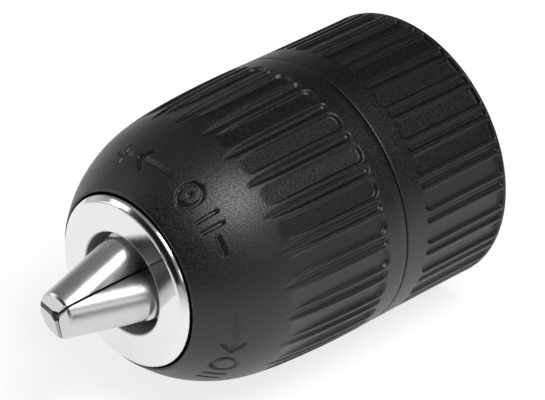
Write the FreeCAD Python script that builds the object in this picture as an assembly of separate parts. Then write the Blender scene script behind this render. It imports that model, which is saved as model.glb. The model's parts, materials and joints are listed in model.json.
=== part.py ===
import FreeCAD, Part
import math
import os

# Keyless drill chuck, 13 mm, two sleeves, lying on its side.
#
# Every piece is drawn standing up, with the chuck axis on +Z, the rear face at z = 0 and
# the nose at the top.  lay_down() then turns it on its side: the nose points to -Y, the
# spindle thread opens to +Y, and the origin is the centre of the rear face.
# "Azimuth" is the clock angle seen from the nose, from the top (+Z when lying down)
# towards +X.

Vector = FreeCAD.Vector
AXIS = Vector(0, 0, 1)
CENTRE = Vector(0, 0, 0)

# ---------------------------------------------------------------- driving dimensions (mm)
REAR_SLEEVE_END = 21.0          # front edge of the rear sleeve
FRONT_SLEEVE_START = 21.3       # rear edge of the front sleeve, past the seam
SLEEVE_FRONT = 56.55            # front edge of the front sleeve
NOSE_FACE = 57.8                # flat face of the steel nose
NOSE_RADIUS = 13.25
NOSE_CHAMFER = 0.8
NOSE_ROUNDING = 0.55            # on both edges of that chamfer
SLEEVE_OPENING_RADIUS = 13.55   # hole in the front sleeve, round the nose

# The sleeves' outer line, as (height, radius).
REAR_SLEEVE_LINE = [(0.6, 21.5), (10.0, 21.41), (REAR_SLEEVE_END - 0.25, 21.4)]
FRONT_SLEEVE_LINE = [(FRONT_SLEEVE_START + 0.25, 21.4), (28.0, 21.42), (36.0, 21.1), (42.0, 20.55),
                     (47.0, 19.5), (51.0, 17.84), (53.5, 16.36), (SLEEVE_FRONT - 0.25, 14.05)]
# Inside of the front sleeve, from its opening back to the nut jacket.
FRONT_SLEEVE_INSIDE = [(52.0, SLEEVE_OPENING_RADIUS), (49.5, 15.4), (46.5, 16.8), (41.0, 17.6)]
SLEEVE_EDGE = 0.25              # bevel at the sleeves' ends
SLEEVE_BORE = 19.25             # inside of the sleeves round the jaws and the bearing

# Grip: wide flat recesses and narrow grooves in turn, at the same azimuths on both sleeves.
GRIP_COUNT = 24
RECESS_WIDTH = 2.8
RECESS_DEPTH = 0.5
GROOVE_RADIUS = 0.6
GROOVE_DEPTH = 0.45
FRONT_GRIP_START = 25.0
FRONT_RECESS_END = 43.5
FRONT_GROOVE_END = 44.5
RECESS_END_RADIUS = 20.3        # sleeve radius where the front recesses run out
GROOVE_END_RADIUS = 20.1
REAR_GRIP_START = 0.8           # thin rim behind the rear sleeve's grip
REAR_GRIP_END = 17.0

# Jaws: three round pins, leaning towards the axis.
JAW_COUNT = 3
FIRST_JAW_AZIMUTH = -16.4
JAW_RADIUS = 3.7
JAW_LEAN = math.radians(16.0)
JAW_CROSSING = 68.8             # where the jaw axes meet the chuck axis
JAW_TIP = 70.2                  # tip face with the jaws closed
JAW_REAR = 34.6                 # centre of the rear end with the jaws closed
JAW_REAR_CHAMFER = 1.5
JAW_TIP_CHAMFER = 0.3
GRIP_FLAT = 0.55                # gripping flat to chuck axis, closed
JAW_SEAM = 0.36                 # gap between two closed jaws
JAW_CLEARANCE = 0.1
JAW_WEDGE = math.radians(60.0)  # half angle of the wedge at which the three jaws meet

# Feed thread between the split nut and the jaws, right-hand, 40 degree trapezoid.
FEED_PITCH = 1.6
THREAD_FLANK = math.radians(20.0)
TOOTH_CREST = 0.45              # width of a jaw tooth at its crest
TOOTH_DEPTH = 0.85              # groove depth in the jaw
NUT_ENGAGEMENT = 0.6            # how far the nut crests reach under the jaw crests
THREAD_GAP = 0.12               # axial play on each flank
NUT_ROOT_GAP = 0.18
RACK_REAR = 34.4                # the teeth start in the jaw's rear chamfer
LARGEST_SHANK = 13.0
OPENING_DROP = (LARGEST_SHANK / 2 - GRIP_FLAT) / math.tan(JAW_LEAN)
NUT_REAR = 32.6
NUT_THREAD_FRONT = 36.65        # ahead of it the nut's bore is plain and clears the jaws
NUT_FRONT = 41.2
NUT_BORE_GAP = 0.25             # from the jaws to that plain bore
NUT_FLANGE_TOP = 34.8
NUT_FLANGE_RADIUS = 17.6
NUT_RADIUS = 15.9
NUT_SPLIT = 0.1                 # saw gap between the two halves
JACKET_REAR = 34.9
JACKET_FRONT = 41.0
JACKET_RADIUS = 18.2
JACKET_TEETH = 48
JACKET_TOOTH_DEPTH = 0.35

# Body.
HUB_RADIUS = 11.5
HUB_KNURL_TEETH = 60
HUB_KNURL_DEPTH = 0.3
HUB_KNURL_SPAN = (1.5, 6.0)
BODY_BEVEL = 0.5
FLANGE_REAR = 22.0
FLANGE_FRONT = 28.0
FLANGE_RADIUS = 18.6
PILOT_RADIUS = 15.3             # centres the bearing
PILOT_FRONT = 32.2
NECK_RADIUS = 10.4              # bottom of the groove for the nut
NECK_FRONT = 41.6
THROAT_RADIUS = 7.94
THROAT_DEPTH = 8.0
THROAT_CHAMFER = 0.15
SHANK_BORE_RADIUS = 6.7
SHANK_BORE_BOTTOM = 24.0
SCREW_HOLE_RADIUS = 3.3

# Spindle thread, 1/2-20 UNF.
THREAD_MAJOR = 6.35
THREAD_PITCH = 1.27
THREAD_DEPTH = 0.5413 * THREAD_PITCH
THREAD_MINOR = THREAD_MAJOR - THREAD_DEPTH
SPINDLE_FLANK = math.radians(30.0)
THREAD_LENGTH = 15.5
THREAD_RELIEF = 2.0
THREAD_RELIEF_RADIUS = 6.5
SOCKET_SECTORS = 12             # the tapped wall is drawn sector by sector
SOCKET_WALL = 8.6               # outer radius of those sectors, inside the hub
GROOVE_LAP = 0.01               # share of a turn by which a piece of thread overruns its sector

# Thrust ball bearing behind the nut.
BALL_COUNT = 24
BALL_RADIUS = 1.2
BALL_CIRCLE = 17.35
BALL_HEIGHT = 30.3
BALL_GAP = 0.06
RACE_INNER = 15.8
RACE_OUTER = 18.9
REAR_RACE_FRONT = 29.4
FRONT_RACE_REAR = 31.2
CAGE_REAR = 29.65
CAGE_FRONT = 30.95
CAGE_INNER = 15.9
CAGE_OUTER = 18.8

# Rear sleeve inside: a web on the hub, open towards the jaws.
WEB_FRONT = 4.5
COLLAR_FRONT = 7.0
COLLAR_RADIUS = 13.6
REAR_FACE_RECESS = 0.8
REAR_RECESS_RADII = (14.0, 19.3)
SPIGOT_RADIUS = 20.05           # step that closes the seam from the inside
SPIGOT_FRONT = 23.2
SPIGOT_GAP = 0.3
SEAM_BORE = 20.35
JACKET_LEAD_IN = 0.5            # draft of the sleeve's seat for the nut jacket


# ---------------------------------------------------------------- helpers
def ring(inner, outer, bottom, top):
    """A plain ring between two radii."""
    return cylinder(outer, bottom, top).cut(cylinder(inner, bottom, top))


def cylinder(radius, bottom, top):
    """A cylinder on the chuck axis."""
    return Part.makeCylinder(radius, top - bottom, Vector(0, 0, bottom), AXIS)


def closed(corners):
    """A closed polygon through its corners."""
    return Part.makePolygon(corners + corners[:1])


def turned(points, angle=360.0):
    """A solid of revolution, or part of one, from an outline of (height, radius) points."""
    outline = closed([Vector(radius, 0, height) for height, radius in points])
    return Part.Face(outline).revolve(CENTRE, AXIS, angle)


def turned_under_curve(outer_points, inner_points):
    """A solid of revolution: a smooth outer line, closed by a polygon of inner points."""
    outer = [Vector(radius, 0, height) for height, radius in outer_points]
    inner = [Vector(radius, 0, height) for height, radius in inner_points]
    curve = Part.BSplineCurve()
    curve.interpolate(outer)
    back = Part.makePolygon([outer[-1]] + inner + [outer[0]])
    outline = Part.Wire([curve.toShape()] + back.Edges)
    return Part.Face(outline).revolve(CENTRE, AXIS, 360)


def spun(shape, angle):
    """A copy of a shape turned about the chuck axis, in degrees."""
    copy = shape.copy()
    copy.rotate(CENTRE, AXIS, angle)
    return copy


def at_azimuth(shape, azimuth):
    """A shape drawn towards +X, turned to an azimuth."""
    return spun(shape, 90.0 - azimuth)


def around(shape, count, start=0.0):
    """Equally spaced copies round the chuck axis."""
    return [spun(shape, start + 360.0 * index / count) for index in range(count)]


def jaw_offset(height):
    """Distance of a closed jaw's axis from the chuck axis at a height."""
    return (JAW_CROSSING - height) * math.tan(JAW_LEAN)


def jaw_flank(height):
    """Distance of a jaw's outer flank from the chuck axis at a height."""
    return jaw_offset(height) + JAW_RADIUS / math.cos(JAW_LEAN)


def jaw_axis():
    """Direction of the jaw that is drawn towards +X, from its rear to its tip."""
    return Vector(-math.sin(JAW_LEAN), 0, math.cos(JAW_LEAN))


def swept(profile, path):
    """A solid swept along a helix."""
    return Part.Wire([path]).makePipeShell([profile], True, True)


def knurled(shape, radius, depth, count, bottom, top):
    """Cuts a straight knurl of V grooves into a cylinder."""
    half_width = depth * 1.1
    corners = [Vector(radius - depth, 0, bottom), Vector(radius + depth, 2 * half_width, bottom),
               Vector(radius + depth, -2 * half_width, bottom)]
    groove = Part.Face(closed(corners)).extrude(Vector(0, 0, top - bottom))
    return shape.cut(around(groove, count))


def lay_down(shape):
    """Turns a finished piece from standing to lying, nose towards -Y."""
    copy = shape.copy()
    copy.rotate(CENTRE, Vector(1, 0, 0), 90)
    return copy


# ---------------------------------------------------------------- body
def spindle_groove(share):
    """A share of a turn of the spindle thread's groove, climbing from +X at z = 0."""
    overlap = 0.2
    root = THREAD_PITCH / 16
    opening = THREAD_PITCH * 3 / 8 + overlap * math.tan(SPINDLE_FLANK)
    inner = THREAD_MINOR - overlap
    profile = closed([Vector(inner, 0, -opening), Vector(THREAD_MAJOR, 0, -root),
                      Vector(THREAD_MAJOR, 0, root), Vector(inner, 0, opening)])
    helix = Part.makeHelix(THREAD_PITCH, THREAD_PITCH * (share + 2 * GROOVE_LAP), THREAD_MINOR)
    groove = swept(profile, helix.Edges[0])
    groove.translate(Vector(0, 0, -THREAD_PITCH * GROOVE_LAP))
    return spun(groove, -360.0 * GROOVE_LAP)


def socket_sector(index):
    """One sector of the tapped wall round the spindle."""
    share = 1.0 / SOCKET_SECTORS
    sector = turned([(0, THREAD_MINOR), (0, SOCKET_WALL), (THREAD_LENGTH, SOCKET_WALL),
                     (THREAD_LENGTH, THREAD_MINOR)], 360.0 * share)
    turns = math.ceil(THREAD_LENGTH / THREAD_PITCH) + 1
    for turn in range(-1, turns):
        groove = spindle_groove(share)
        groove.translate(Vector(0, 0, THREAD_PITCH * (turn + index * share)))
        sector = sector.cut(groove)
    return spun(sector, 360.0 * index * share)


def jaw_bore():
    """Inclined hole for the jaw that is drawn towards +X."""
    length = JAW_CROSSING / math.cos(JAW_LEAN)
    foot = Vector(jaw_offset(0), 0, 0)
    return Part.makeCylinder(JAW_RADIUS + JAW_CLEARANCE, length, foot, jaw_axis())


def central_holes():
    """Throat and shank bore from the front, spindle hole from the rear, screw hole between."""
    throat_bottom = NOSE_FACE - THROAT_DEPTH
    relief_bottom = THREAD_LENGTH + THREAD_RELIEF
    lip = Part.makeCone(THROAT_RADIUS, THROAT_RADIUS + THROAT_CHAMFER, THROAT_CHAMFER,
                        Vector(0, 0, NOSE_FACE - THROAT_CHAMFER), AXIS)
    return [lip,
            cylinder(THROAT_RADIUS, throat_bottom, NOSE_FACE),
            cylinder(SHANK_BORE_RADIUS, SHANK_BORE_BOTTOM, throat_bottom),
            cylinder(SCREW_HOLE_RADIUS, relief_bottom, SHANK_BORE_BOTTOM),
            cylinder(THREAD_RELIEF_RADIUS, THREAD_LENGTH, relief_bottom),
            cylinder(SOCKET_WALL, 0, THREAD_LENGTH)]


def chuck_body():
    """One steel body: hub, thrust flange, bearing pilot, nut neck and nose."""
    outline = [(0, 0), (0, HUB_RADIUS - BODY_BEVEL), (BODY_BEVEL, HUB_RADIUS),
               (FLANGE_REAR, HUB_RADIUS), (FLANGE_REAR, FLANGE_RADIUS - BODY_BEVEL),
               (FLANGE_REAR + BODY_BEVEL, FLANGE_RADIUS), (FLANGE_FRONT, FLANGE_RADIUS),
               (FLANGE_FRONT, PILOT_RADIUS), (PILOT_FRONT, PILOT_RADIUS), (PILOT_FRONT, NECK_RADIUS),
               (NECK_FRONT, NECK_RADIUS), (NECK_FRONT, NOSE_RADIUS),
               (NOSE_FACE - NOSE_CHAMFER, NOSE_RADIUS), (NOSE_FACE, NOSE_RADIUS - NOSE_CHAMFER),
               (NOSE_FACE, 0)]
    body = turned(outline)
    rims = [edge for edge in body.Edges
            if edge.BoundBox.ZMin > NOSE_FACE - NOSE_CHAMFER - 0.01 and edge.Length > math.tau * HUB_RADIUS]
    body = body.makeFillet(NOSE_ROUNDING, rims)
    body = knurled(body, HUB_RADIUS, HUB_KNURL_DEPTH, HUB_KNURL_TEETH, *HUB_KNURL_SPAN)
    body = body.cut(central_holes())
    body = body.cut([at_azimuth(jaw_bore(), jaw_azimuth(index)) for index in range(JAW_COUNT)])
    return body.fuse([socket_sector(index) for index in range(SOCKET_SECTORS)])


# ---------------------------------------------------------------- jaws
def jaw_azimuth(index):
    """Azimuth of one jaw, in degrees."""
    return FIRST_JAW_AZIMUTH + 360.0 * index / JAW_COUNT


def jaw_blank():
    """Round pin with a chamfered rear end, cut to a wedge where the three jaws meet."""
    length = (JAW_TIP - JAW_REAR) / math.cos(JAW_LEAN) + JAW_RADIUS
    outline = [(0, 0), (0, JAW_RADIUS - JAW_REAR_CHAMFER), (JAW_REAR_CHAMFER, JAW_RADIUS),
               (length, JAW_RADIUS), (length, 0)]
    pin = turned(outline)
    pin.rotate(CENTRE, Vector(0, 1, 0), -math.degrees(JAW_LEAN))
    pin.translate(Vector(jaw_offset(JAW_REAR), 0, JAW_REAR))
    half_width = (GRIP_FLAT * math.sin(JAW_WEDGE) - JAW_SEAM / 2) / math.cos(JAW_WEDGE)
    reach = 30.0
    reach_width = half_width + (reach - GRIP_FLAT) * math.tan(JAW_WEDGE)
    corners = [Vector(GRIP_FLAT, -half_width, 0), Vector(reach, -reach_width, 0),
               Vector(reach, reach_width, 0), Vector(GRIP_FLAT, half_width, 0)]
    wedge = Part.Face(closed(corners)).extrude(Vector(0, 0, JAW_TIP))
    blank = pin.common(wedge)
    tip_edges = [edge for edge in blank.Edges if abs(edge.BoundBox.ZMin - JAW_TIP) < 0.01]
    return blank.makeChamfer(JAW_TIP_CHAMFER, tip_edges)


def tooth_groove():
    """One groove of the jaw's rack at the height of the nut's middle, before it is moved."""
    middle = (NUT_REAR + NUT_FRONT) / 2
    mouth = (FEED_PITCH - TOOTH_CREST) / 2
    bottom = mouth - TOOTH_DEPTH * math.tan(THREAD_FLANK)
    overlap = 0.4
    radius = jaw_flank(middle)
    corners = [Vector(radius - TOOTH_DEPTH, 0, middle - bottom), Vector(radius, 0, middle - mouth),
               Vector(radius + overlap, 0, middle - mouth), Vector(radius + overlap, 0, middle + mouth),
               Vector(radius, 0, middle + mouth), Vector(radius - TOOTH_DEPTH, 0, middle + bottom)]
    section = Part.Face(closed(corners))
    arc = 50.0
    section.rotate(CENTRE, AXIS, -arc / 2)
    groove = section.revolve(CENTRE, AXIS, arc)
    lead_angle = math.degrees(math.atan(FEED_PITCH / (2 * math.pi * radius)))
    groove.rotate(Vector(0, 0, middle), Vector(1, 0, 0), lead_angle)
    return groove


def rack_heights(azimuth):
    """Heights of a jaw's grooves, in step with the nut's helix, up to the nut when open."""
    middle = (NUT_REAR + NUT_FRONT) / 2
    turned_share = (90.0 - azimuth) / 360.0
    first_tooth = NUT_FRONT + FEED_PITCH + FEED_PITCH * turned_share
    first_groove = first_tooth + FEED_PITCH / 2
    foremost = NUT_THREAD_FRONT + OPENING_DROP + (FEED_PITCH - TOOTH_CREST) / 2
    lowest = math.ceil((RACK_REAR - first_groove) / FEED_PITCH)
    highest = math.floor((foremost - first_groove) / FEED_PITCH)
    return [first_groove + step * FEED_PITCH - middle for step in range(lowest, highest + 1)]


def jaw(index):
    """One jaw with its rack of teeth on the outer flank."""
    azimuth = jaw_azimuth(index)
    groove = tooth_groove()
    grooves = []
    for rise in rack_heights(azimuth):
        copy = groove.copy()
        copy.translate(jaw_axis() * (rise / math.cos(JAW_LEAN)))
        grooves.append(copy)
    return at_azimuth(jaw_blank().cut(grooves), azimuth)


# ---------------------------------------------------------------- nut
def nut_groove(height):
    """Half a turn of the nut's conical thread, from +X through -Y, falling from a height."""
    overlap = 0.3
    slope = math.tan(THREAD_FLANK)
    start = height + GROOVE_LAP * FEED_PITCH
    half_at_flank = TOOTH_CREST / 2 + THREAD_GAP
    root_radius = jaw_flank(start) + NUT_ROOT_GAP
    open_radius = jaw_flank(start) - NUT_ENGAGEMENT - overlap
    half_root = half_at_flank - NUT_ROOT_GAP * slope
    half_open = half_at_flank + (NUT_ENGAGEMENT + overlap) * slope
    profile = closed([Vector(root_radius, 0, -half_root), Vector(open_radius, 0, -half_open),
                      Vector(open_radius, 0, half_open), Vector(root_radius, 0, half_root)])
    # A conical helix is drawn by its pitch and length along the cone, widening as it climbs,
    # so it is made upside down.
    along_cone = FEED_PITCH / math.cos(JAW_LEAN)
    helix = Part.makeHelix(along_cone, along_cone * (0.5 + 2 * GROOVE_LAP), jaw_flank(start),
                           math.degrees(JAW_LEAN))
    groove = swept(profile, helix.Edges[0])
    groove.rotate(CENTRE, Vector(1, 0, 0), 180)
    groove.translate(Vector(0, 0, start))
    return spun(groove, 360.0 * GROOVE_LAP)


def nut_half(index):
    """One half of the split nut, index 0 or 1, with every half turn of thread that it holds."""
    rear_bore = jaw_flank(NUT_REAR) - NUT_ENGAGEMENT
    crest_front = jaw_flank(NUT_THREAD_FRONT) - NUT_ENGAGEMENT
    plain_rear = jaw_flank(NUT_THREAD_FRONT) + NUT_BORE_GAP
    plain_front = jaw_flank(NUT_FRONT) + NUT_BORE_GAP
    half = turned([(NUT_REAR, rear_bore), (NUT_REAR, NUT_FLANGE_RADIUS),
                   (NUT_FLANGE_TOP, NUT_FLANGE_RADIUS), (NUT_FLANGE_TOP, NUT_RADIUS),
                   (NUT_FRONT, NUT_RADIUS), (NUT_FRONT, plain_front),
                   (NUT_THREAD_FRONT, plain_rear), (NUT_THREAD_FRONT, crest_front)], -180.0)
    height = NUT_FRONT + FEED_PITCH * (1 - 0.5 * index)
    while height > NUT_REAR - FEED_PITCH:
        if height < NUT_THREAD_FRONT + FEED_PITCH:
            half = half.cut(nut_groove(height))
        height -= FEED_PITCH
    saw = Part.makeBox(4 * NUT_RADIUS, NUT_SPLIT, NUT_FRONT,
                       Vector(-2 * NUT_RADIUS, -NUT_SPLIT / 2, NUT_REAR))
    return spun(half.cut(saw), 180.0 * index)


def nut_jacket():
    """Steel band that holds the halves together and keys them to the front sleeve."""
    band = ring(NUT_RADIUS, JACKET_RADIUS, JACKET_REAR, JACKET_FRONT)
    return knurled(band, JACKET_RADIUS, JACKET_TOOTH_DEPTH, JACKET_TEETH, JACKET_REAR, JACKET_FRONT)


# ---------------------------------------------------------------- thrust bearing
def ball_track():
    """The rolling groove in both races."""
    return Part.makeTorus(BALL_CIRCLE, BALL_RADIUS + BALL_GAP, Vector(0, 0, BALL_HEIGHT), AXIS)


def rear_race():
    """Hardened washer on the body's flange."""
    return ring(RACE_INNER, RACE_OUTER, FLANGE_FRONT, REAR_RACE_FRONT).cut(ball_track())


def front_race():
    """Hardened washer under the nut."""
    return ring(RACE_INNER, RACE_OUTER, FRONT_RACE_REAR, NUT_REAR).cut(ball_track())


def bearing_ball(index):
    """One steel ball."""
    place = Vector(BALL_CIRCLE, 0, BALL_HEIGHT)
    return spun(Part.makeSphere(BALL_RADIUS, place), 360.0 * index / BALL_COUNT)


def ball_cage():
    """Flat ring with a pocket for each ball."""
    pocket = Part.makeCylinder(BALL_RADIUS + BALL_GAP, CAGE_FRONT - CAGE_REAR,
                               Vector(BALL_CIRCLE, 0, CAGE_REAR), AXIS)
    return ring(CAGE_INNER, CAGE_OUTER, CAGE_REAR, CAGE_FRONT).cut(around(pocket, BALL_COUNT))


# ---------------------------------------------------------------- sleeves
def front_recess():
    """A wide recess of the front sleeve: round rear end, flat floor that runs out forward."""
    half = RECESS_WIDTH / 2
    floor = FRONT_SLEEVE_LINE[0][1] - RECESS_DEPTH
    height = 3.0
    run_out = math.degrees(math.atan2(floor - RECESS_END_RADIUS, FRONT_RECESS_END - FRONT_GRIP_START))
    slot = Part.makeBox(height, RECESS_WIDTH, 2 * (FRONT_RECESS_END - FRONT_GRIP_START),
                        Vector(0, -half, half))
    end = Part.makeCylinder(half, height, Vector(0, 0, half), Vector(1, 0, 0))
    cutter = slot.fuse(end)
    cutter.rotate(CENTRE, Vector(0, 1, 0), -run_out)
    cutter.translate(Vector(floor, 0, FRONT_GRIP_START))
    return cutter


def front_groove():
    """A narrow groove of the front sleeve, pointed where it runs out forward."""
    floor = FRONT_SLEEVE_LINE[0][1] - GROOVE_DEPTH
    run = FRONT_GROOVE_END - FRONT_GRIP_START
    lean = math.atan2(floor - GROOVE_END_RADIUS, run)
    direction = Vector(-math.sin(lean), 0, math.cos(lean))
    start = Vector(floor + GROOVE_RADIUS, 0, FRONT_GRIP_START + GROOVE_RADIUS)
    return Part.makeCylinder(GROOVE_RADIUS, 1.3 * run, start, direction).fuse(
        Part.makeSphere(GROOVE_RADIUS, start))


def rear_recess():
    """A wide recess of the rear sleeve, square at the rear rim and round at the front."""
    half = RECESS_WIDTH / 2
    floor = REAR_SLEEVE_LINE[-1][1] - RECESS_DEPTH
    height = 3.0
    slot = Part.makeBox(height, RECESS_WIDTH, REAR_GRIP_END - half - REAR_GRIP_START,
                        Vector(floor, -half, REAR_GRIP_START))
    end = Part.makeCylinder(half, height, Vector(floor, 0, REAR_GRIP_END - half), Vector(1, 0, 0))
    return slot.fuse(end)


def rear_groove():
    """A narrow groove of the rear sleeve."""
    floor = REAR_SLEEVE_LINE[-1][1] - GROOVE_DEPTH
    start = Vector(floor + GROOVE_RADIUS, 0, REAR_GRIP_START)
    top = REAR_GRIP_END - GROOVE_RADIUS
    rod = Part.makeCylinder(GROOVE_RADIUS, top - REAR_GRIP_START, start, AXIS)
    return rod.fuse(Part.makeSphere(GROOVE_RADIUS, Vector(start.x, 0, top)))


def grip(recess, groove):
    """All the grip cuts of one sleeve."""
    return around(recess, GRIP_COUNT) + around(groove, GRIP_COUNT, 180.0 / GRIP_COUNT)


def front_sleeve():
    """Turning sleeve: grips the jacket inside, rounds in to the nose at the front."""
    step = SPIGOT_FRONT + SPIGOT_GAP
    inner = [(SLEEVE_FRONT, SLEEVE_OPENING_RADIUS)] + FRONT_SLEEVE_INSIDE + [
        (JACKET_FRONT, JACKET_RADIUS), (NUT_REAR, JACKET_RADIUS + JACKET_LEAD_IN),
        (NUT_REAR, SLEEVE_BORE), (step, SLEEVE_BORE), (step, SEAM_BORE), (FRONT_SLEEVE_START, SEAM_BORE),
        (FRONT_SLEEVE_START, FRONT_SLEEVE_LINE[0][1] - SLEEVE_EDGE)]
    shell = turned_under_curve(FRONT_SLEEVE_LINE, inner)
    return shell.cut(grip(front_recess(), front_groove()))


def rear_sleeve():
    """Fixed sleeve pressed on the hub, hollow where the open jaws reach back."""
    face = REAR_SLEEVE_LINE[0][1] - REAR_SLEEVE_LINE[0][0]
    lip = REAR_SLEEVE_END - SLEEVE_EDGE
    inner = [(REAR_SLEEVE_END, REAR_SLEEVE_LINE[-1][1] - SLEEVE_EDGE), (REAR_SLEEVE_END, SPIGOT_RADIUS),
             (SPIGOT_FRONT, SPIGOT_RADIUS), (SPIGOT_FRONT, SLEEVE_BORE), (WEB_FRONT, SLEEVE_BORE),
             (WEB_FRONT, COLLAR_RADIUS), (COLLAR_FRONT, COLLAR_RADIUS), (COLLAR_FRONT, HUB_RADIUS),
             (0, HUB_RADIUS), (0, REAR_RECESS_RADII[0]), (REAR_FACE_RECESS, REAR_RECESS_RADII[0]),
             (REAR_FACE_RECESS, REAR_RECESS_RADII[1]), (0, REAR_RECESS_RADII[1]), (0, face)]
    shell = turned_under_curve(REAR_SLEEVE_LINE, inner)
    return shell.cut(grip(rear_recess(), rear_groove()))


# ---------------------------------------------------------------- assembly
def build():
    """All pieces by name, standing up."""
    pieces = {
        "chuck_body": chuck_body(),
        "front_sleeve": front_sleeve(),
        "rear_sleeve": rear_sleeve(),
        "nut_half_a": nut_half(0),
        "nut_half_b": nut_half(1),
        "nut_jacket": nut_jacket(),
        "front_race": front_race(),
        "rear_race": rear_race(),
        "ball_cage": ball_cage(),
    }
    for index in range(JAW_COUNT):
        pieces["jaw_%d" % (index + 1)] = jaw(index)
    for index in range(BALL_COUNT):
        pieces["bearing_ball_%02d" % (index + 1)] = bearing_ball(index)
    return pieces


def solid_of(name, shape):
    """The single valid solid of a piece, or an error that names it."""
    if len(shape.Solids) != 1:
        raise ValueError("%s has %d solids" % (name, len(shape.Solids)))
    solid = shape.Solids[0]
    if not solid.isValid():
        raise ValueError("%s is not a valid solid" % name)
    return solid


os.makedirs("parts", exist_ok=True)
for piece_name, piece_shape in build().items():
    piece = lay_down(solid_of(piece_name, piece_shape))
    piece.exportStep("parts/%s.step" % piece_name)
    print("%-18s %9.1f mm3" % (piece_name, piece.Volume))
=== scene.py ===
import json
import math

import bpy
import numpy as np
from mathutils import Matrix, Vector


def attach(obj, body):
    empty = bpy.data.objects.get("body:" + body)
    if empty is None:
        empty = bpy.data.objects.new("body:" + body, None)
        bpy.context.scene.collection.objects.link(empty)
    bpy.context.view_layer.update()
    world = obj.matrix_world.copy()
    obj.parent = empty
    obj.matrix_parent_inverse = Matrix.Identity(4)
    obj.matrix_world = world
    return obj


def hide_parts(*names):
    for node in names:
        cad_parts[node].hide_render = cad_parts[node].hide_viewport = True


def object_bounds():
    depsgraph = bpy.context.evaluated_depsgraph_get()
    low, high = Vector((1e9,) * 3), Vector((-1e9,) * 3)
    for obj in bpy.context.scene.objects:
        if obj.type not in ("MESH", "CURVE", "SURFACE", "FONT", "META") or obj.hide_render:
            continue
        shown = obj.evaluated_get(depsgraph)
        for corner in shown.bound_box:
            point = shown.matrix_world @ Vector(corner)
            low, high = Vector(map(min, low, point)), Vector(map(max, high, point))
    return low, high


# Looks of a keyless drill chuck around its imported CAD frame.  The chuck lies on its side:
# the axis is Y, the rear face is at y = 0 and the nose points to -Y.
# Lengths in the shape code are millimetres; "height" is the distance from the rear face
# towards the nose and "azimuth" the clock angle seen from the nose, from +Z towards +X.

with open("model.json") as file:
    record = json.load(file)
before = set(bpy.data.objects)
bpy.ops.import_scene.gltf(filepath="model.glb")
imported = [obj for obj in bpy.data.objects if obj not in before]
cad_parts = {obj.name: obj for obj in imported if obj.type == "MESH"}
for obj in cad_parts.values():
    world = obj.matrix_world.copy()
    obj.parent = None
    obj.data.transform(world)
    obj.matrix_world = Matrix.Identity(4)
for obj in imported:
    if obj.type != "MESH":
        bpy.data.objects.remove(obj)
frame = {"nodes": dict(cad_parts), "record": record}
cad_low, cad_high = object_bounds()

MM = 0.001

# ---------------------------------------------------------------- sleeves (mm)
GRIP_COUNT = 24
COLUMNS = 40 * GRIP_COUNT       # mesh points round a sleeve
SHARP_ANGLE = 62.0              # degrees; steeper edges are shaded sharp

# The outer lines, as (height, radius), and the seam between the sleeves.
REAR_SLEEVE_LINE = [(0.0, 21.5), (10.0, 21.41), (21.0, 21.4)]
FRONT_SLEEVE_LINE = [(21.3, 21.4), (28.0, 21.42), (36.0, 21.1), (42.0, 20.55), (47.0, 19.5),
                     (51.0, 17.84), (53.5, 16.36), (56.55, 13.9)]
SEAM_REAR = 21.06               # front edge of the rear sleeve
SEAM_FRONT = 21.24              # rear edge of the front sleeve
SLEEVE_FRONT = 56.55            # front edge of the front sleeve

# The insides, which are those of the CAD sleeves.
HUB_RADIUS = 11.5
FACE_RING = (14.0, 19.3)        # radii of the ring sunk in the rear face
FACE_RING_DEPTH = 0.8
WEB_FRONT = 4.5                 # the web that sits on the hub, and its collar
COLLAR_FRONT = 7.0
COLLAR_RADIUS = 13.6
SLEEVE_BORE = 19.25
SPIGOT_RADIUS = 20.05           # step that closes the seam from the inside
SPIGOT_FRONT = 23.2
SEAM_BORE = 20.35
SEAM_BORE_FRONT = 23.5
NUT_REAR = 32.6
JACKET_FRONT = 41.0
JACKET_RADIUS = 18.2
JACKET_LEAD_IN = 0.5            # draft of the sleeve's seat for the nut jacket
SLEEVE_OPENING = 13.55          # radius of the hole round the nose

# The rest of each section, as (height, radius), in the order in which the mesh runs: over the
# rear edge, along the outer line, round the front edge and back through the inside.
REAR_SLEEVE_FACE = [(0.1, HUB_RADIUS), (0.0, HUB_RADIUS + 0.1),
                    (0.0, FACE_RING[0] - 0.2), (0.06, FACE_RING[0] - 0.06), (0.2, FACE_RING[0]),
                    (FACE_RING_DEPTH, FACE_RING[0]), (FACE_RING_DEPTH, FACE_RING[1]),
                    (0.2, FACE_RING[1]), (0.06, FACE_RING[1] + 0.06), (0.0, FACE_RING[1] + 0.2),
                    (0.0, 20.7), (0.03, 21.3), (0.12, 21.42)]
REAR_SLEEVE_INSIDE = [(SEAM_REAR - 0.04, 21.39), (SEAM_REAR, 21.36),
                      (SEAM_REAR, SPIGOT_RADIUS), (SPIGOT_FRONT, SPIGOT_RADIUS),
                      (SPIGOT_FRONT, SLEEVE_BORE), (WEB_FRONT, SLEEVE_BORE),
                      (WEB_FRONT, COLLAR_RADIUS), (COLLAR_FRONT, COLLAR_RADIUS),
                      (COLLAR_FRONT, HUB_RADIUS)]
FRONT_SLEEVE_EDGE = [(SEAM_FRONT, 20.4), (SEAM_FRONT, 21.18), (SEAM_FRONT + 0.06, 21.34)]
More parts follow.
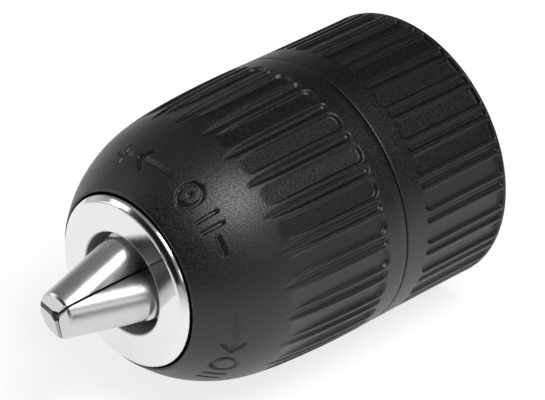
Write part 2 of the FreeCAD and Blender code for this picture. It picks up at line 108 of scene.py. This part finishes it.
FRONT_SLEEVE_INSIDE = [(SLEEVE_FRONT - 0.05, 13.92), (SLEEVE_FRONT, 13.75), (SLEEVE_FRONT - 0.05, 13.6),
                       (SLEEVE_FRONT - 0.25, SLEEVE_OPENING), (52.0, SLEEVE_OPENING),
                       (49.5, 15.4), (46.5, 16.8), (JACKET_FRONT, 17.6),
                       (JACKET_FRONT, JACKET_RADIUS), (NUT_REAR, JACKET_RADIUS + JACKET_LEAD_IN),
                       (NUT_REAR, SLEEVE_BORE), (SEAM_BORE_FRONT, SLEEVE_BORE),
                       (SEAM_BORE_FRONT, SEAM_BORE)]

# Mesh rows on the outer line, as (height from which on, step), and the height of the last row.
# They are close together where a cut begins or ends and where the marks are.
REAR_ROWS = [(0.25, 0.12), (0.5, 0.05), (1.0, 0.5), (14.8, 0.14), (17.3, 0.5)]
REAR_LAST_ROW = 20.75
FRONT_ROWS = [(21.55, 0.7), (24.7, 0.15), (26.6, 1.0), (41.5, 0.3), (45.0, 0.5), (49.4, 0.17),
              (53.6, 0.45)]
FRONT_LAST_ROW = 56.3

# Grip: wide recesses and narrow grooves in turn.
RECESS_WIDTH = 2.8
RECESS_CORNER = 1.15
RECESS_DEPTH = 0.55
WALL_BLEND = 0.34               # width over which a recess wall falls
GROOVE_RADIUS = 0.75
GROOVE_DEPTH = 0.5
FRONT_GRIP_START = 25.0
FRONT_RECESS_END = 43.6
FRONT_GROOVE_END = 44.8
REAR_GRIP_START = 0.5
REAR_RUN_OUT = 0.4              # the rear grip ends at a thin rim, with a wall this long
REAR_GRIP_END = 17.0
RUN_OUT_SOFTNESS = 0.04         # rounds the edge where a floor meets the outer line

# Generic marks engraved round the dome.  A stroke is (x, y, x, y) in millimetres along the
# circle and towards the nose; a mark is (azimuth, strokes).
MARK_HEIGHT = 51.5
MARK_RADIUS = 17.6
MARK_WIDTH = 0.54
MARK_DEPTH = 0.42
MARK_EDGE = 0.14                # width over which a mark's wall falls
MARK_RING = 1.65                # radius of a ring's middle line
MARK_DOT = 0.12                 # added to the dot's radius, which is half a stroke's width
ARROW = [(-3.6, 0.0, 3.6, 0.0), (3.6, 0.0, 2.0, 1.4), (3.6, 0.0, 2.0, -1.4)]
ARROW_BACK = [(-start_x, start_y, -end_x, end_y) for start_x, start_y, end_x, end_y in ARROW]
MINUS = [(-1.3, 0.0, 1.3, 0.0)]
PLUS = MINUS + [(0.0, -1.3, 0.0, 1.3)]
BARS = [(-0.9, -1.4, -0.9, 1.4), (0.9, -1.4, 0.9, 1.4)]
STROKE_MARKS = [(-19.0, PLUS), (3.0, ARROW_BACK), (43.0, BARS), (55.0, MINUS), (101.0, ARROW),
                (137.0, BARS)]
RING_MARKS = [(27.0, True), (123.0, False)]     # (azimuth, whether there is a dot in it)

# ---------------------------------------------------------------- surfaces
# Scales are per metre and bump distances in metres.
NOISE_SPAN = (0.3, 0.7)         # most of a noise's values lie between these
NYLON_DARK = (0.002, 0.002, 0.0021)
NYLON_PALE = (0.0085, 0.0085, 0.0087)
NYLON_GRAIN = 3200.0
NYLON_GRAIN_BUMP = 0.00006
NYLON_MOTTLE = 700.0
NYLON_MOTTLE_BUMP = 0.00004
NYLON_SPECKS = (0.35, 0.7)      # grain values at which the paler specks begin and are full
NYLON_ROUGHNESS = (0.32, 0.5)
NYLON_SPECULAR = 0.62
STEEL_CLOUD = 260.0
STEEL_CLOUD_SHADE = 0.9         # how dark the clouds are, against the plain colour
GROUND_SPREAD = (0.88, 1.15)    # least and most roughness of ground metal, times its own
TURNED_SPREAD = (0.85, 1.2)     # the same for turned steel
PLAIN_ROUGHNESS = 0.55          # turned steel that isn't polished
POLISHED_HEIGHT = 50.0          # mm; the nose is polished from here on
POLISHED_RADIUS = 8.1           # mm; and outside this radius
POLISH_EDGE = 0.2               # mm; width over which the polish begins
LENGTHWISE = (5000.0, 250.0, 5000.0)
EVEN = (6000.0, 6000.0, 6000.0)
TURNING_RINGS = (9000.0, 9000.0, 0.0)
# A Mix node's first, second and result sockets, by number, because their names repeat.
NUMBER_SOCKETS = (2, 3, 0)
COLOUR_SOCKETS = (6, 7, 2)

# ---------------------------------------------------------------- camera and stage
AIM = Vector((10.4, -37.9, 10.2))       # mm
CAMERA_AZIMUTH = 46.18
CAMERA_ELEVATION = 30.70
CAMERA_DISTANCE = 450.0         # mm
CAMERA_LENS = 208.0             # mm, on a sensor this wide:
CAMERA_SENSOR = 36.0
CAMERA_CLIP = (0.01, 10.0)      # metres
FLOOR_REACH = 3.0               # metres to each side
FLOOR_GAP = 0.00002             # metres; keeps the chuck clear of the floor
FLOOR_COLOUR = 0.36
FLOOR_ROUGHNESS = 0.8
# The floor glows though it is no lamp: painted light, strongest in a pool and weaker far off.
FLOOR_GLOW = 0.79               # painted light: the floor's glow in the bright pool, which lies to the left of the chuck
FLOOR_GLOW_FAR = 0.22
POOL_CENTRE = (-0.25, 0.05)     # metres
POOL_RADIUS = (0.3, 0.43)       # metres; where the glow starts and ends its fall
# Softboxes as (name, position in metres, size in metres, watts): one overhead to the right,
# a weaker one on the left in front, a strip on the right.
SOFTBOXES = [("key", (0.34, -0.047, 0.55), (0.32, 0.32), 2.8),
             ("left", (-0.6, -0.5, 0.35), (0.3, 0.5), 0.7),
             ("right_strip", (0.75, 0.1, 0.27), (0.45, 0.16), 0.3)]
SOFTBOX_TARGET = (0.0, -0.035, 0.0)
# Radiance of the studio around, and where each part of it fades, in a direction's X, Y or Z.
STUDIO_DARK = 0.01              # everywhere
STUDIO_OVERHEAD = 0.24          # overhead, fading out behind the chuck and ahead of it
STUDIO_BEHIND = (0.25, 0.6)
STUDIO_AHEAD = (-0.75, -0.35)
STUDIO_HORIZON = 0.45           # near the horizon on the left, fading upwards and to the right
STUDIO_UPWARDS = (0.0, 0.5)
STUDIO_RIGHTWARDS = (-0.4, 0.2)


# ---------------------------------------------------------------- node helpers
def new_material(name):
    """An empty node material with its Principled shader."""
    material = bpy.data.materials.new(name)
    material.use_nodes = True
    nodes = material.node_tree.nodes
    nodes.clear()
    shader = nodes.new("ShaderNodeBsdfPrincipled")
    output = nodes.new("ShaderNodeOutputMaterial")
    material.node_tree.links.new(shader.outputs["BSDF"], output.inputs["Surface"])
    return material, shader


def object_point(tree):
    """Object coordinates, in metres."""
    return tree.nodes.new("ShaderNodeTexCoord").outputs["Object"]


def stretched(tree, point, factors):
    """Coordinates scaled per axis, for a grain that runs one way."""
    node = tree.nodes.new("ShaderNodeVectorMath")
    node.operation = "MULTIPLY"
    node.inputs[1].default_value = factors
    tree.links.new(point, node.inputs[0])
    return node.outputs["Vector"]


def radius_point(tree, point):
    """(distance from the chuck axis, distance along it, 0), for rings left by turning."""
    split = tree.nodes.new("ShaderNodeSeparateXYZ")
    across = tree.nodes.new("ShaderNodeCombineXYZ")
    length = tree.nodes.new("ShaderNodeVectorMath")
    length.operation = "LENGTH"
    joined = tree.nodes.new("ShaderNodeCombineXYZ")
    tree.links.new(point, split.inputs["Vector"])
    tree.links.new(split.outputs["X"], across.inputs["X"])
    tree.links.new(split.outputs["Z"], across.inputs["Z"])
    tree.links.new(across.outputs["Vector"], length.inputs[0])
    tree.links.new(length.outputs["Value"], joined.inputs["X"])
    tree.links.new(split.outputs["Y"], joined.inputs["Y"])
    return joined.outputs["Vector"]


def noise(tree, point, scale, detail=3.0, roughness=0.55):
    """A noise texture's value, with its scale per metre."""
    node = tree.nodes.new("ShaderNodeTexNoise")
    node.inputs["Scale"].default_value = scale
    node.inputs["Detail"].default_value = detail
    node.inputs["Roughness"].default_value = roughness
    tree.links.new(point, node.inputs["Vector"])
    return node.outputs["Fac"]


def ramp(tree, value, low, high, at_low=0.0, at_high=1.0):
    """Maps a value from one range to another, smoothly and clamped."""
    node = tree.nodes.new("ShaderNodeMapRange")
    node.interpolation_type = "SMOOTHSTEP"
    node.inputs["From Min"].default_value = low
    node.inputs["From Max"].default_value = high
    node.inputs["To Min"].default_value = at_low
    node.inputs["To Max"].default_value = at_high
    tree.links.new(value, node.inputs["Value"])
    return node.outputs["Result"]


def calculated(tree, operation, first, second):
    """The result of a sum or product; the second term may be a plain number."""
    node = tree.nodes.new("ShaderNodeMath")
    node.operation = operation
    tree.links.new(first, node.inputs[0])
    if isinstance(second, float):
        node.inputs[1].default_value = second
    else:
        tree.links.new(second, node.inputs[1])
    return node.outputs["Value"]


def mix_colour(tree, share, first, second):
    """A mix of two plain colours."""
    first_socket, second_socket, result_socket = COLOUR_SOCKETS
    node = tree.nodes.new("ShaderNodeMix")
    node.data_type = "RGBA"
    node.inputs[first_socket].default_value = (*first, 1.0)
    node.inputs[second_socket].default_value = (*second, 1.0)
    tree.links.new(share, node.inputs["Factor"])
    return node.outputs[result_socket]


def mix_number(tree, share, first, second):
    """A mix of a plain number and a linked one."""
    first_socket, second_socket, result_socket = NUMBER_SOCKETS
    node = tree.nodes.new("ShaderNodeMix")
    node.inputs[first_socket].default_value = first
    tree.links.new(share, node.inputs["Factor"])
    tree.links.new(second, node.inputs[second_socket])
    return node.outputs[result_socket]


def bump(tree, shader, height, distance, strength=1.0, after=None):
    """Adds a bump to the shader's normal; returns the normal for a next bump."""
    node = tree.nodes.new("ShaderNodeBump")
    node.inputs["Distance"].default_value = distance
    node.inputs["Strength"].default_value = strength
    tree.links.new(height, node.inputs["Height"])
    if after is not None:
        tree.links.new(after, node.inputs["Normal"])
    tree.links.new(node.outputs["Normal"], shader.inputs["Normal"])
    return node.outputs["Normal"]


# ---------------------------------------------------------------- materials
def nylon_material():
    """Black glass-filled nylon: a fine moulded grain with paler fibre specks."""
    material, shader = new_material("black_nylon")
    tree = material.node_tree
    point = object_point(tree)
    mottle = noise(tree, point, NYLON_MOTTLE)
    grain = noise(tree, point, NYLON_GRAIN, detail=2.0, roughness=0.7)
    speck = ramp(tree, grain, *NYLON_SPECKS)
    tree.links.new(mix_colour(tree, speck, NYLON_DARK, NYLON_PALE), shader.inputs["Base Color"])
    tree.links.new(ramp(tree, grain, *NOISE_SPAN, *NYLON_ROUGHNESS), shader.inputs["Roughness"])
    shader.inputs["Specular IOR Level"].default_value = NYLON_SPECULAR
    coarse = bump(tree, shader, mottle, NYLON_MOTTLE_BUMP, strength=0.35)
    bump(tree, shader, grain, NYLON_GRAIN_BUMP, strength=0.8, after=coarse)
    return material


def bare_steel(name, colour):
    """A bare metal with faint clouds in its colour; returns (material, shader, point, cloud)."""
    material, shader = new_material(name)
    tree = material.node_tree
    point = object_point(tree)
    cloud = noise(tree, point, STEEL_CLOUD)
    darker = tuple(channel * STEEL_CLOUD_SHADE for channel in colour)
    tree.links.new(mix_colour(tree, cloud, darker, colour), shader.inputs["Base Color"])
    shader.inputs["Metallic"].default_value = 1.0
    return material, shader, point, cloud


def ground_material(name, colour, roughness, grain_factors, grain_bump):
    """Bare metal with a fine grain that runs one way."""
    material, shader, point, cloud = bare_steel(name, colour)
    tree = material.node_tree
    polish = ramp(tree, cloud, *NOISE_SPAN, *[roughness * share for share in GROUND_SPREAD])
    tree.links.new(polish, shader.inputs["Roughness"])
    grain = noise(tree, stretched(tree, point, grain_factors), 1.0, detail=2.0)
    bump(tree, shader, grain, grain_bump, strength=0.5)
    return material


def turned_polish(tree, shader, point, roughness, ring_bump):
    """The roughness of turned steel; the rings round the chuck axis are bumped as well."""
    rings = noise(tree, stretched(tree, radius_point(tree, point), TURNING_RINGS), 1.0, detail=2.0)
    bump(tree, shader, rings, ring_bump, strength=0.4)
    return ramp(tree, rings, *NOISE_SPAN, *[roughness * share for share in TURNED_SPREAD])


def turned_material(name, colour, roughness, ring_bump):
    """Turned steel with faint rings."""
    material, shader, point, _ = bare_steel(name, colour)
    tree = material.node_tree
    polish = turned_polish(tree, shader, point, roughness, ring_bump)
    tree.links.new(polish, shader.inputs["Roughness"])
    return material


def body_material(name, colour, roughness, ring_bump):
    """Turned steel, polished only on the nose and plain in the throat and behind."""
    material, shader, point, _ = bare_steel(name, colour)
    tree = material.node_tree
    split = tree.nodes.new("ShaderNodeSeparateXYZ")
    tree.links.new(radius_point(tree, point), split.inputs["Vector"])
    outside = ramp(tree, split.outputs["X"], POLISHED_RADIUS * MM, (POLISHED_RADIUS + POLISH_EDGE) * MM)
    ahead = ramp(tree, split.outputs["Y"], -(POLISHED_HEIGHT + POLISH_EDGE) * MM, -POLISHED_HEIGHT * MM,
                 1.0, 0.0)
    nose = calculated(tree, "MULTIPLY", outside, ahead)
    polish = turned_polish(tree, shader, point, roughness, ring_bump)
    tree.links.new(mix_number(tree, nose, PLAIN_ROUGHNESS, polish), shader.inputs["Roughness"])
    return material


# ---------------------------------------------------------------- sleeve surfaces
def smooth_line(points, at):
    """A natural cubic spline through (height, radius) points, read at some heights."""
    heights, radii = np.array(points, float).T
    steps = np.diff(heights)
    slopes = np.diff(radii) / steps
    count = len(heights)
    system = np.eye(count)
    right = np.zeros(count)
    for index in range(1, count - 1):
        system[index, index - 1] = steps[index - 1]
        system[index, index] = 2 * (steps[index - 1] + steps[index])
        system[index, index + 1] = steps[index]
        right[index] = 6 * (slopes[index] - slopes[index - 1])
    bend = np.linalg.solve(system, right)
    span = np.clip(np.searchsorted(heights, at) - 1, 0, count - 2)
    step = steps[span]
    before = (heights[span + 1] - at) / step
    after = (at - heights[span]) / step
    curved = (before**3 - before) * bend[span] + (after**3 - after) * bend[span + 1]
    return before * radii[span] + after * radii[span + 1] + curved * step**2 / 6


def smooth_step(value):
    """0 below 0, 1 above 1, smooth between."""
    value = np.clip(value, 0.0, 1.0)
    return value * value * (3 - 2 * value)


def positive_part(value, softness):
    """max(value, 0) with a rounded corner, and exactly 0 below it."""
    rounded = np.maximum(value + softness, 0) ** 2 / (4 * softness)
    return np.where(value > softness, value, rounded)


def recess_cut(arc, beyond, surface, floor):
    """How deep the wide recess cuts; beyond is the distance from its round end, inwards."""
    across = np.abs(arc) - (RECESS_WIDTH / 2 - RECESS_CORNER)
    along = RECESS_CORNER - beyond
    outside = np.hypot(np.maximum(across, 0), np.maximum(along, 0))
    distance = outside + np.minimum(np.maximum(across, along), 0) - RECESS_CORNER
    inside = smooth_step(0.5 - distance / WALL_BLEND)
    return inside * positive_part(surface - floor, RUN_OUT_SOFTNESS)


def groove_cut(arc, beyond, surface, floor):
    """How deep the narrow round groove cuts."""
    short = np.maximum(GROOVE_RADIUS - beyond, 0)
    reach = GROOVE_RADIUS**2 - arc**2 - short**2
    tool = np.sqrt(np.maximum(reach, 0)) - GROOVE_RADIUS
    depth = np.where(reach > 0, surface - floor + tool, -1.0)
    return positive_part(depth, RUN_OUT_SOFTNESS)


def grip_cut(azimuth, surface, beyond, recess_floor, groove_floor):
    """The whole grip pattern of one sleeve."""
    pitch = 2 * math.pi / GRIP_COUNT
    to_recess = (azimuth + pitch / 2) % pitch - pitch / 2
    to_groove = azimuth % pitch - pitch / 2
    recess = recess_cut(to_recess * surface, beyond, surface, recess_floor / np.cos(to_recess))
    groove = groove_cut(to_groove * surface, beyond, surface, groove_floor)
    return np.maximum(recess, groove)


def front_cut(height, azimuth, surface):
    """Grip and marks of the front sleeve: the grip runs out forward, where the sleeve rounds in."""
    ends = np.array([FRONT_GRIP_START, FRONT_RECESS_END, FRONT_GROOVE_END])
    start, recess_out, groove_out = smooth_line(FRONT_SLEEVE_LINE, ends)
    beyond = height - FRONT_GRIP_START
    recess_floor = start - RECESS_DEPTH - (start - RECESS_DEPTH - recess_out) * beyond / (
        FRONT_RECESS_END - FRONT_GRIP_START)
    groove_floor = start - GROOVE_DEPTH - (start - GROOVE_DEPTH - groove_out) * beyond / (
        FRONT_GROOVE_END - FRONT_GRIP_START)
    grip = grip_cut(azimuth, surface, beyond, recess_floor, groove_floor)
    return grip + mark_cut(height, azimuth)


def rear_cut(height, azimuth, surface):
    """Grip of the rear sleeve: rounded towards the seam, ending at a thin rim at the rear."""
    seam_radius = REAR_SLEEVE_LINE[-1][1]
    grip = grip_cut(azimuth, surface, REAR_GRIP_END - height, seam_radius - RECESS_DEPTH,
                    seam_radius - GROOVE_DEPTH)
    return grip * smooth_step((height - REAR_GRIP_START) / REAR_RUN_OUT)


def stroke_distance(along, across, stroke):
    """Distance from points to a straight stroke."""
    start_x, start_y, end_x, end_y = stroke
    step_x, step_y = end_x - start_x, end_y - start_y
    share = ((along - start_x) * step_x + (across - start_y) * step_y) / (step_x**2 + step_y**2)
    share = np.clip(share, 0.0, 1.0)
    return np.hypot(along - start_x - share * step_x, across - start_y - share * step_y)


def mark_place(height, azimuth, centre):
    """Millimetres along the circle and towards the nose from a mark's centre."""
    turn = (azimuth - math.radians(centre) + math.pi) % (2 * math.pi) - math.pi
    return turn * MARK_RADIUS, height - MARK_HEIGHT


def mark_cut(height, azimuth):
    """Depth of the engraved marks."""
    nearest = np.full(height.shape, np.inf)
    for centre, strokes in STROKE_MARKS:
        along, across = mark_place(height, azimuth, centre)
        for stroke in strokes:
            nearest = np.minimum(nearest, stroke_distance(along, across, stroke))
    for centre, has_dot in RING_MARKS:
        from_centre = np.hypot(*mark_place(height, azimuth, centre))
        nearest = np.minimum(nearest, np.abs(from_centre - MARK_RING))
        if has_dot:
            nearest = np.minimum(nearest, np.maximum(from_centre - MARK_DOT, 0))
    return MARK_DEPTH * smooth_step((MARK_WIDTH / 2 + MARK_EDGE / 2 - nearest) / MARK_EDGE)


def spaced(rows, last):
    """Heights from (height from which on, step) pairs up to the last height."""
    ends = [start for start, _ in rows[1:]] + [last]
    heights = []
    for (start, step), end in zip(rows, ends):
        count = max(1, round((end - start) / step))
        heights += list(np.linspace(start, end, count, endpoint=False))
    return np.array(heights + [last])


def sleeve_points(before, line, heights, after, cut):
    """Circles of points round the axis: plain ones, cut ones on the outer line, plain ones.

    cut(height, azimuth, radius) says how much is taken off the outer line's radius.
    """
    section = np.array([*before, *zip(heights, smooth_line(line, heights)), *after])
    turns = np.arange(COLUMNS) * 2 * math.pi / COLUMNS
    azimuth, height = np.meshgrid(turns, section[:, 0])
    radius = section[:, 1:] + np.zeros(COLUMNS)
    shaped = slice(len(before), len(before) + len(heights))
    radius[shaped] -= cut(height[shaped], azimuth[shaped], radius[shaped])
    return np.stack([radius * np.sin(azimuth), -height, radius * np.cos(azimuth)], -1) * MM


def ring_mesh(name, circles):
    """A closed ring through circles of points, the last joined to the first."""
    faces = []
    for row in range(len(circles)):
        below, above = row * COLUMNS, (row + 1) % len(circles) * COLUMNS
        for column in range(COLUMNS):
            beside = (column + 1) % COLUMNS
            faces.append((below + column, above + column, above + beside, below + beside))
    mesh = bpy.data.meshes.new(name)
    mesh.from_pydata(circles.reshape(-1, 3).tolist(), [], faces)
    mesh.polygons.foreach_set("use_smooth", [True] * len(mesh.polygons))
    mesh.set_sharp_from_angle(angle=math.radians(SHARP_ANGLE))
    mesh.update()
    obj = bpy.data.objects.new(name, mesh)
    bpy.context.scene.collection.objects.link(obj)
    return obj


def front_sleeve():
    """The turning sleeve's shell."""
    heights = spaced(FRONT_ROWS, FRONT_LAST_ROW)
    circles = sleeve_points(FRONT_SLEEVE_EDGE, FRONT_SLEEVE_LINE, heights, FRONT_SLEEVE_INSIDE, front_cut)
    obj = ring_mesh("front_sleeve_shell", circles)
    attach(obj, "turning_sleeve")
    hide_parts("front_sleeve")
    return obj


def rear_sleeve():
    """The fixed sleeve's shell."""
    heights = spaced(REAR_ROWS, REAR_LAST_ROW)
    circles = sleeve_points(REAR_SLEEVE_FACE, REAR_SLEEVE_LINE, heights, REAR_SLEEVE_INSIDE, rear_cut)
    obj = ring_mesh("rear_sleeve_shell", circles)
    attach(obj, "fixed_body")
    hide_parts("rear_sleeve")
    return obj


def paint(obj, material):
    """Gives every face of an object one material."""
    obj.data.materials.clear()
    obj.data.materials.append(material)


# ---------------------------------------------------------------- stage
def add_camera():
    """Camera at the photograph's angle."""
    camera = bpy.data.cameras.new("camera")
    camera.lens = CAMERA_LENS
    camera.sensor_width = CAMERA_SENSOR
    camera.clip_start, camera.clip_end = CAMERA_CLIP
    obj = bpy.data.objects.new("camera", camera)
    bpy.context.scene.collection.objects.link(obj)
    azimuth = math.radians(CAMERA_AZIMUTH)
    elevation = math.radians(CAMERA_ELEVATION)
    back = Vector((math.sin(azimuth) * math.cos(elevation), -math.cos(azimuth) * math.cos(elevation),
                   math.sin(elevation)))
    obj.location = (AIM + back * CAMERA_DISTANCE) * MM
    obj.rotation_euler = (-back).to_track_quat("-Z", "Y").to_euler()
    bpy.context.scene.camera = obj


def add_floor():
    """A pale floor under the chuck, glowing with painted light that is brightest in a pool beside it."""
    mesh = bpy.data.meshes.new("floor")
    level = cad_low.z - FLOOR_GAP
    corners = [(x * FLOOR_REACH, y * FLOOR_REACH, level) for x, y in ((-1, -1), (1, -1), (1, 1), (-1, 1))]
    mesh.from_pydata(corners, [], [(0, 1, 2, 3)])
    floor = bpy.data.objects.new("floor", mesh)
    bpy.context.scene.collection.objects.link(floor)
    material, shader = new_material("pale_floor")
    shader.inputs["Base Color"].default_value = (FLOOR_COLOUR, FLOOR_COLOUR, FLOOR_COLOUR, 1.0)
    shader.inputs["Roughness"].default_value = FLOOR_ROUGHNESS
    shader.inputs["Emission Color"].default_value = (1.0, 1.0, 1.0, 1.0)
    tree = material.node_tree
    from_pool = tree.nodes.new("ShaderNodeVectorMath")
    from_pool.operation = "ADD"
    from_pool.inputs[1].default_value = (-POOL_CENTRE[0], -POOL_CENTRE[1], -level)
    tree.links.new(object_point(tree), from_pool.inputs[0])
    distance = tree.nodes.new("ShaderNodeVectorMath")
    distance.operation = "LENGTH"
    tree.links.new(from_pool.outputs["Vector"], distance.inputs[0])
    # painted light: the floor's glow, strongest in the pool and falling to the far glow
    glow = ramp(tree, distance.outputs["Value"], *POOL_RADIUS, FLOOR_GLOW, FLOOR_GLOW_FAR)
    tree.links.new(glow, shader.inputs["Emission Strength"])
    paint(floor, material)


def add_softbox(name, position, size, power):
    """A rectangular area light aimed at the chuck."""
    light = bpy.data.lights.new(name, "AREA")
    light.shape = "RECTANGLE"
    light.size, light.size_y = size
    light.energy = power
    obj = bpy.data.objects.new(name, light)
    bpy.context.scene.collection.objects.link(obj)
    obj.location = position
    direction = Vector(SOFTBOX_TARGET) - Vector(position)
    obj.rotation_euler = direction.to_track_quat("-Z", "Y").to_euler()


def add_world():
    """The studio around: dark ahead and behind, grey overhead, pale low on the left."""
    world = bpy.data.worlds.new("studio")
    world.use_nodes = True
    tree = world.node_tree
    direction = tree.nodes.new("ShaderNodeSeparateXYZ")
    tree.links.new(tree.nodes.new("ShaderNodeTexCoord").outputs["Generated"], direction.inputs["Vector"])
    not_behind = ramp(tree, direction.outputs["Y"], *STUDIO_BEHIND, STUDIO_OVERHEAD, 0.0)
    not_ahead = ramp(tree, direction.outputs["Y"], *STUDIO_AHEAD)
    low = ramp(tree, direction.outputs["Z"], *STUDIO_UPWARDS, STUDIO_HORIZON, 0.0)
    left = ramp(tree, direction.outputs["X"], *STUDIO_RIGHTWARDS, 1.0, 0.0)
    overhead = calculated(tree, "MULTIPLY", not_behind, not_ahead)
    horizon = calculated(tree, "MULTIPLY", low, left)
    both = calculated(tree, "ADD", calculated(tree, "ADD", overhead, STUDIO_DARK), horizon)
    background = tree.nodes["Background"]
    tree.links.new(both, background.inputs["Strength"])
    background.inputs["Color"].default_value = (1.0, 1.0, 1.0, 1.0)
    bpy.context.scene.world = world


nylon = nylon_material()
paint(front_sleeve(), nylon)
paint(rear_sleeve(), nylon)
slot_materials = {
    "sleeve_nylon": nylon,
    "body_steel": body_material("polished_steel", (0.82, 0.82, 0.83), roughness=0.13, ring_bump=0.000002),
    "jaw_steel": ground_material("ground_steel", (0.63, 0.63, 0.64), roughness=0.28,
                                 grain_factors=LENGTHWISE, grain_bump=0.0000025),
    "nut_steel": turned_material("machined_steel", (0.5, 0.5, 0.52), roughness=0.35, ring_bump=0.000003),
    "race_steel": turned_material("race_steel", (0.62, 0.62, 0.63), roughness=0.2, ring_bump=0.000001),
    "ball_steel": ground_material("ball_steel", (0.8, 0.8, 0.82), roughness=0.08,
                                  grain_factors=EVEN, grain_bump=0.000001),
    "cage_brass": ground_material("cage_brass", (0.72, 0.52, 0.22), roughness=0.3,
                                  grain_factors=EVEN, grain_bump=0.000003),
}
for subpart in frame["record"]["subparts"]:
    paint(frame["nodes"][subpart["node"]], slot_materials[subpart["material_slot"]])

add_floor()
for softbox in SOFTBOXES:
    add_softbox(*softbox)
add_world()
add_camera()
bpy.context.scene.view_settings.view_transform = "Standard"
